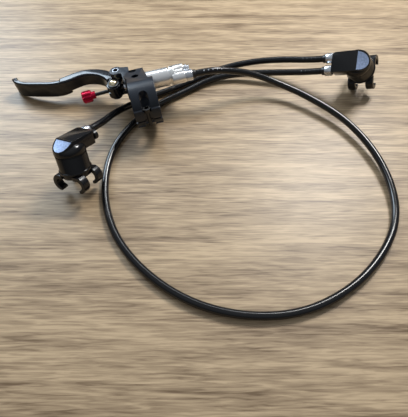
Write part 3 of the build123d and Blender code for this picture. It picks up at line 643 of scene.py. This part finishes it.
def blast_flat_and_paint_reflection(head, unit):
    """Sinks the flat within its rim and tags it for the second colour: blasted metal with a painted
    reflection.
    """
    facing = unit.to_3x3() @ Vector((0, -sin(FLAT_TILT), cos(FLAT_TILT)))
    work = bmesh.new()
    work.from_mesh(head.data)
    blasted_and_painted_reflection = work.faces.layers.float.new(SECOND)
    flats = [face for face in work.faces if face.normal.dot(facing) > SAME_WAY]
    bmesh.ops.inset_region(work, faces=flats, thickness=FLAT_RIM * MM, depth=-FLAT_SUNK * MM)
    for face in flats:
        face[blasted_and_painted_reflection] = 1.0
    work.to_mesh(head.data)
    work.free()


def slave_head(name, unit):
    """The whole head, which stands for its solid."""
    head = combine(head_bar(name, unit), head_cap(name, unit), "UNION")
    combine(head, flat_cutter(name, unit), "DIFFERENCE")
    head.name = name + "_forged"
    rounded(head, HEAD_EDGE_R * MM, segments=3)
    settled(head, name)
    blast_flat_and_paint_reflection(head, unit)
    return head


for name, unit in (("left_slave_head", LEFT_UNIT), ("right_slave_head", RIGHT_UNIT)):
    print(name, "faces", len(slave_head(name, unit).data.polygons))

# %% [markdown]
# The bracket is milled so that its back runs up into the two bands without a step. A wedge fills that place.
# Its top is the one line from the body's top edge that touches the bands' round, so it meets them smoothly,
# and an angle found by eye would leave a crease. From above, the wedge's outline starts where that line
# touches. It narrows on the cylinder's side and swells a little on the side of the ears.

# %% The wedge of the bracket's back
BAND_R = 15.8
BODY_END_Y, BODY_TOP_Z = 26.0, 9.5
WEDGE_LOW_Z = 6.0
to_edge = (BODY_END_Y ** 2 + BODY_TOP_Z ** 2) ** 0.5
touch = atan2(BODY_TOP_Z, BODY_END_Y) + acos(BAND_R / to_edge)
touch_y, touch_z = BAND_R * cos(touch), BAND_R * sin(touch)
lean = (BODY_TOP_Z - touch_z) / (BODY_END_Y - touch_y)
WEDGE_PLAN = [(9.1, touch_y), (8.2, 1.2 + touch_y), (5.7, 7.5), (3.5, BODY_END_Y), (-7.0, BODY_END_Y),
              (-11.4, 18.0), (-10.6, 14.0), (-9.1, 11.5), (-9.1, touch_y)]
bracket = merged_copy("lever_bracket", "_milled")
combine(bracket, prism("wedge", LEVER_UNIT, WEDGE_PLAN, WEDGE_LOW_Z, touch_z - lean * touch_y, lean), "UNION")
print("the wedge leans", round(lean, 3), "and touches the bands at", round(touch_y, 1))

# %% [markdown]
# Between the bands the bracket is hollow, but behind its rounded pocket a web closes the hollow. The clamp's
# front is cut to a round. Both could be drawn as outlines from the side. They are parts of rings about the
# bar's axis, though, so one function makes the web that is joined and the cutters that are taken off. Angles
# are in degrees from straight up towards the front.

# %% The bracket's web, pockets and round front
RECESS_HALF_W = 3.1
WEB_LOW_R, WEB_TOP_R = 13.0, BAND_R - 0.05
WEB_FROM, WEB_TO = -20, 40
WEB_LAP = 0.3
POCKET_W = 6.4
POCKET_FROM_Y, POCKET_TO_Y = -6.4, -15.0
POCKET_FLOOR_Z = 3.01
KEY_AT, KEY_R, KEY_TURN, KEY_FLOOR_Z = (-2.8, 13.5), 2.9, 20, 4.6
HOLE_AT, HOLE_R, HOLE_FLOOR_Z = (-4.2, 24.6), 2.9, 4.3
FRONT_R = 16.8
FRONT_FROM, FRONT_TO = 20, 125
BEYOND = 30
CLAMP_HALF_W = 12
BRACKET_EDGE_R = 0.3
SECTOR_STEPS = 24


def sector(name, inner, outer, start, end, half_w):
    """A curved block about the bar's axis, between two angles."""
    rim = arc(0, 0, inner, start + 90, end + 90, SECTOR_STEPS)
    rim += arc(0, 0, outer, end + 90, start + 90, SECTOR_STEPS)
    count = len(rim)
    verts = [(-half_w, y, z) for y, z in rim] + [(half_w, y, z) for y, z in rim]
    faces = [list(range(count)), list(range(count, 2 * count))[::-1]]
    faces += [[i, i + count, (i + 1) % count + count, (i + 1) % count] for i in range(count)]
    return placed(name, LEVER_UNIT, verts, faces)


def even_outline(at, radius, corners, turn=0):
    """An outline with equal sides about a point, for a key's socket or a round hole."""
    return arc(*at, radius, turn, turn + 360 * (corners - 1) / corners, corners - 1)


def mill(piece, name, plan, floor):
    """Cuts a hollow with an outline, from above down to its floor."""
    combine(piece, prism(name, LEVER_UNIT, plan, floor, BEYOND), "DIFFERENCE")


def round_front(piece):
    """Takes off what stands out of the clamp's round front."""
    combine(piece, sector("front_round", FRONT_R, BEYOND, FRONT_FROM, FRONT_TO, CLAMP_HALF_W), "DIFFERENCE")


combine(bracket, sector("web", WEB_LOW_R, WEB_TOP_R, WEB_FROM, WEB_TO, RECESS_HALF_W + WEB_LAP), "UNION")
half = POCKET_W / 2
pocket_plan = arc(0, POCKET_FROM_Y - half, half, 0, 180) + arc(0, POCKET_TO_Y + half, half, 180, 360)
mill(bracket, "pocket", pocket_plan, POCKET_FLOOR_Z)
mill(bracket, "key_pocket", even_outline(KEY_AT, KEY_R, 6, KEY_TURN), KEY_FLOOR_Z)
mill(bracket, "light_hole", even_outline(HOLE_AT, HOLE_R, 36), HOLE_FLOOR_Z)
round_front(bracket)
rounded(bracket, BRACKET_EDGE_R * MM)
settled(bracket, "lever_bracket")
print("bracket faces", len(bracket.data.polygons))

# %% [markdown]
# The cap is the clamp's lower half. Its front is cut to the same round as the bracket's, and a wide notch in
# it leaves room for the front bolt. It could be built anew from a ring, but a cut copy of the solid keeps
# the bolts' holes, and the same cutter keeps the two halves flush.

# %% The clamp's cap
NOTCH_IN_R = 10
NOTCH_FROM, NOTCH_TO = 116, 150
NOTCH_HALF_W = RECESS_HALF_W + 0.6
CAP_EDGE_R = 0.2
cap = merged_copy("bar_clamp_cap", "_milled")
round_front(cap)
combine(cap, sector("front_notch", NOTCH_IN_R, BEYOND, NOTCH_FROM, NOTCH_TO, NOTCH_HALF_W), "DIFFERENCE")
rounded(cap, CAP_EDGE_R * MM)
settled(cap, "bar_clamp_cap")
print("cap faces", len(cap.data.polygons))

# %% [markdown]
# The lever's pin shows a thin bright rim round a dark hollow. It is turned as one profile, and the faces
# within the rim take the second colour, painted near black as painted shade in the hollow. The collars
# behind the bright nuts, where the hoses enter, take the same dark colour as their own. Separate pieces
# could carry the second colour, but each of these stands for one solid.

# %% The pin, and the nuts' collars
PIVOT = (-16.2, 30.3)
PIN_R = 2.4
PIN_RIM_R = 1.75
PIN_LOW, PIN_HIGH = -9.2, 9.75
PIN_HOLLOW_DEPTH, PIN_HOLLOW_TAPER = 1.5, 0.2
PIN_STEPS = 40
RIM_MARGIN = 0.05
CYL_HEAD_END_X = 33.0
NUT_L = 5.2
NUT_EDGE_R = 0.2
COLLAR_MARGIN = 0.02

hollow_floor = PIN_HIGH - PIN_HOLLOW_DEPTH
pin_profile = [(NEAR_AXIS, PIN_LOW), (PIN_R, PIN_LOW), (PIN_R, PIN_HIGH), (PIN_RIM_R, PIN_HIGH),
               (PIN_RIM_R - PIN_HOLLOW_TAPER, hollow_floor), (NEAR_AXIS, hollow_floor)]
pin = settled(lathe("lever_pivot_pin_turned", LEVER_UNIT, pin_profile, PIVOT, PIN_STEPS), "lever_pivot_pin")
# The faces within the rim get painted shade: near black, for the shadow in the pin's hollow.
tag_faces(pin, LEVER_UNIT, lambda place:
          (place.xy - Vector(PIVOT)).length < PIN_RIM_R - RIM_MARGIN and place.z > 0)


def dress_nut(name, unit, is_collar):
    """A nut with broken edges, whose collar takes the second finish."""
    tag_faces(broken_edges(name, NUT_EDGE_R * MM), unit, is_collar)


dress_nut("master_hose_nut", LEVER_UNIT, lambda place: place.x > CYL_HEAD_END_X + NUT_L + COLLAR_MARGIN)
for name, unit in (("left_hose_nut", LEFT_UNIT), ("right_main_nut", RIGHT_UNIT),
                   ("right_crossover_nut", RIGHT_UNIT)):
    dress_nut(name, unit, lambda place: place.y > BAR_END_Y + NUT_L + COLLAR_MARGIN)

# %% [markdown]
# A hydraulic hose is springy: it leaves each fitting straight and then lies in the widest curve that it can.
# A swept mesh would have to be made again for each change of its route. One open NURBS spline of order three
# through the points of the route makes such a line, and a round bevel makes it a tube. The order is set
# after the points are added, because a new spline is too short for it.

# %% The two hoses
HOSE_D = 5.0 * MM
HOSE_ROUNDNESS = 6
HOSE_SMOOTHNESS = 12
HOSE_ORDER = 3
MASTER_MOUTH = (-2.09, 33.29, 25.37)
MASTER_EXIT = (10.51, 36.20, 26.73)
LEFT_MOUTH = (-70.51, -23.58, 24.96)
LEFT_EXIT = (-63.40, -13.22, 21.62)
RIGHT_LOW_MOUTH = (100.49, 45.88, 18.82)
RIGHT_LOW_EXIT = (89.80, 51.09, 13.58)
RIGHT_HIGH_MOUTH = (101.64, 53.56, 24.11)
RIGHT_HIGH_EXIT = (90.94, 58.77, 18.87)
MAIN_ROUTE = [
    (23.6, 40.4, 23.5), (43.6, 45.4, 17.0), (64.6, 41.5, 10.5), (85.6, 29.4, 8.5),
    (110.1, 7.4, 7.0), (125.3, -20.6, 6.0), (132.0, -51.1, 4.7), (129.3, -80.1, 3.0),
    (114.1, -105.6, 2.5), (91.6, -126.9, 2.5), (62.6, -141.2, 2.5), (31.6, -143.6, 2.5),
    (1.6, -136.6, 2.5), (-24.6, -120.3, 2.5), (-46.4, -96.5, 2.5), (-58.2, -68.1, 2.5),
    (-61.2, -39.1, 2.5), (-57.2, -14.1, 2.5), (-45.6, 7.9, 2.5), (-29.4, 26.4, 2.5),
    (-8.9, 40.7, 2.5), (11.6, 55.9, 3.0), (34.6, 60.0, 5.0), (56.9, 58.0, 7.5),
    (75.6, 55.5, 9.8)]
CROSSOVER_ROUTE = [
    (-58.7, 2.9, 15.2), (-50.9, 20.4, 6.5), (-37.4, 34.0, 2.6), (-17.9, 44.5, 2.5),
    (1.1, 56.6, 2.5), (20.6, 68.4, 3.6), (45.1, 70.8, 8.4), (69.6, 67.4, 13.2)]


def hose_curve(name, points):
    """A round tube on one smooth line through the route's control points, given in millimetres."""
    data = bpy.data.curves.new(name, "CURVE")
    data.dimensions = "3D"
    data.bevel_depth = HOSE_D / 2
    data.bevel_resolution = HOSE_ROUNDNESS
    data.resolution_u = HOSE_SMOOTHNESS
    data.use_fill_caps = True
    line = data.splines.new("NURBS")
    line.points.add(len(points) - 1)
    for control, point in zip(line.points, points):
        control.co = (*(Vector(point) * MM), 1)
    line.use_endpoint_u = True
    line.order_u = HOSE_ORDER
    line.use_smooth = True
    data.materials.append(FINISHES["hose"])
    return add(name, data)


def lay_hose(name, node, points):
    """A hose that stands for its solid, on the root body."""
    hose = hose_curve(name, points)
    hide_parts(node)
    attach(hose, "root")
    print(name, "points", len(points))


main_line = [MASTER_MOUTH, MASTER_EXIT, *MAIN_ROUTE, RIGHT_LOW_EXIT, RIGHT_LOW_MOUTH]
crossover_line = [LEFT_MOUTH, LEFT_EXIT, *CROSSOVER_ROUTE, RIGHT_HIGH_EXIT, RIGHT_HIGH_MOUTH]
lay_hose("main_hose_skin", "main_hose", main_line)
lay_hose("crossover_hose_skin", "crossover_hose", crossover_line)

# %% [markdown]
# The hoses carry a row of small pale dots near their ends, and the adjuster's rod is threaded. Both repeat
# along a path. An Array and a Curve modifier could repeat them, but they would bend each one, so Geometry
# Nodes do it: the curve is cut to a stretch, spaced into points, and each point gets a small drum. One tree
# serves both, because only its sizes differ.

# %% A tree that repeats drums along a path
DRUM_SIDES = 20


def repeat_tree():
    """A tree that cuts a path to a stretch and sets drums along it."""
    tree = bpy.data.node_groups.new("drums_along_a_path", "GeometryNodeTree")
    tree.interface.new_socket("Geometry", in_out="INPUT", socket_type="NodeSocketGeometry")
    for label, kind in (("From", "Float"), ("To", "Float"), ("Count", "Int"), ("Drum Radius", "Float"),
                        ("Drum Height", "Float"), ("Facing", "Vector"), ("Offset", "Vector"),
                        ("Finish", "Material")):
        tree.interface.new_socket(label, in_out="INPUT", socket_type="NodeSocket" + kind)
    tree.interface.new_socket("Geometry", in_out="OUTPUT", socket_type="NodeSocketGeometry")
    nodes, links = tree.nodes, tree.links
    given = nodes.new("NodeGroupInput")
    cut = nodes.new("GeometryNodeTrimCurve")
    cut.mode = "LENGTH"
    space = nodes.new("GeometryNodeResampleCurve")
    drum = nodes.new("GeometryNodeMeshCylinder")
    drum.inputs["Vertices"].default_value = DRUM_SIDES
    aim = nodes.new("FunctionNodeAlignEulerToVector")
    aim.axis = "Z"
    put = nodes.new("GeometryNodeInstanceOnPoints")
    shift = nodes.new("GeometryNodeTranslateInstances")
    shift.inputs["Local Space"].default_value = False
    real = nodes.new("GeometryNodeRealizeInstances")
    paint = nodes.new("GeometryNodeSetMaterial")
    out = nodes.new("NodeGroupOutput")
    links.new(given.outputs["Geometry"], cut.inputs["Curve"])
    links.new(given.outputs["From"], [s for s in cut.inputs if s.name == "Start" and s.enabled][-1])
    links.new(given.outputs["To"], [s for s in cut.inputs if s.name == "End" and s.enabled][-1])
    links.new(cut.outputs["Curve"], space.inputs["Curve"])
    links.new(given.outputs["Count"], space.inputs["Count"])
    links.new(given.outputs["Drum Radius"], drum.inputs["Radius"])
    links.new(given.outputs["Drum Height"], drum.inputs["Depth"])
    links.new(given.outputs["Facing"], aim.inputs["Vector"])
    links.new(space.outputs["Curve"], put.inputs["Points"])
    links.new(drum.outputs["Mesh"], put.inputs["Instance"])
    links.new(aim.outputs["Rotation"], put.inputs["Rotation"])
    links.new(put.outputs["Instances"], shift.inputs["Instances"])
    links.new(given.outputs["Offset"], shift.inputs["Translation"])
    links.new(shift.outputs["Instances"], real.inputs["Geometry"])
    links.new(real.outputs["Geometry"], paint.inputs["Geometry"])
    links.new(given.outputs["Finish"], paint.inputs["Material"])
    links.new(paint.outputs["Geometry"], out.inputs["Geometry"])
    return tree


DRUMS = repeat_tree()
print("nodes in the tree:", len(DRUMS.nodes))

# %% [markdown]
# A modifier takes the tree's inputs by their identifiers, not by their names. The result is turned into a
# plain mesh and the path is dropped, because the library keeps meshes and not trees.

# %% A row of drums as a plain mesh


def drums(name, points, sizes, slot, body, order=HOSE_ORDER):
    """A row of drums along a path in millimetres, on a body."""
    path = hose_curve(name + "_path", points)
    path.data.bevel_depth = 0
    path.data.use_fill_caps = False
    path.data.splines[0].order_u = order
    step = path.modifiers.new("drums", "NODES")
    step.node_group = DRUMS
    values = {**sizes, "Finish": FINISHES[slot]}
    for socket in DRUMS.interface.items_tree:
        if socket.in_out == "INPUT" and socket.name in values:
            step[socket.identifier] = values[socket.name]
    bpy.context.view_layer.update()
    piece = add(name, shown_mesh(path))
    bpy.data.objects.remove(path)
    shade(piece.data)
    wear(piece, slot)
    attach(piece, body)
    print(name, "faces", len(piece.data.polygons))


# %% [markdown]
# The rod's thread is fine, so flat drums one pitch apart stand for its crests; a true helix would look the
# same at this size and take far more faces. It rides with the rod, so that it turns with the knob.

# %% Thread on the rod
THREAD_PITCH = 0.5
CREST_R = 1.40
THREAD_FROM = (-34.6, 21.0, 0)
THREAD_TO = (-25.5, 21.35, 0)
thread_from = LEVER_UNIT @ (Vector(THREAD_FROM) * MM)
thread_to = LEVER_UNIT @ (Vector(THREAD_TO) * MM)
along = thread_to - thread_from
drums("rod_thread", [tuple(thread_from / MM), tuple(thread_to / MM)],
      {"From": 0.0, "To": along.length, "Count": int(along.length / (THREAD_PITCH * MM)),
       "Drum Radius": CREST_R * MM, "Drum Height": THREAD_PITCH / 2 * MM,
       "Facing": tuple(along.normalized()), "Offset": (0.0, 0.0, 0.0)},
      "black_steel", "adjuster", order=2)

# %% [markdown]
# The dots lie on the side of the hoses that the camera sees. They could be painted by the hose's material,
# but as small raised pads they keep their shape in the exported mesh. A row starts at a distance from one
# end.

# %% Dots on the hoses
DOT_R = 0.55
DOT_T = 0.30
DOT_SUNK = 0.05
DOT_STEP = 3.4
DOT_COUNT = 5
TO_CAMERA = Vector((0.0, -0.5, 0.866))
for name, points, start in (("main_hose_dots_near", main_line, 9.0),
                            ("main_hose_dots_far", main_line[::-1], 6.0),
                            ("crossover_dots_far", crossover_line[::-1], 6.0)):
    drums(name, points,
          {"From": start * MM, "To": (start + DOT_STEP * (DOT_COUNT - 1)) * MM, "Count": DOT_COUNT,
           "Drum Radius": DOT_R * MM, "Drum Height": DOT_T * MM, "Facing": tuple(TO_CAMERA),
           "Offset": tuple(TO_CAMERA * (HOSE_D / 2 - DOT_SUNK * MM))}, "nut_plate", "root")
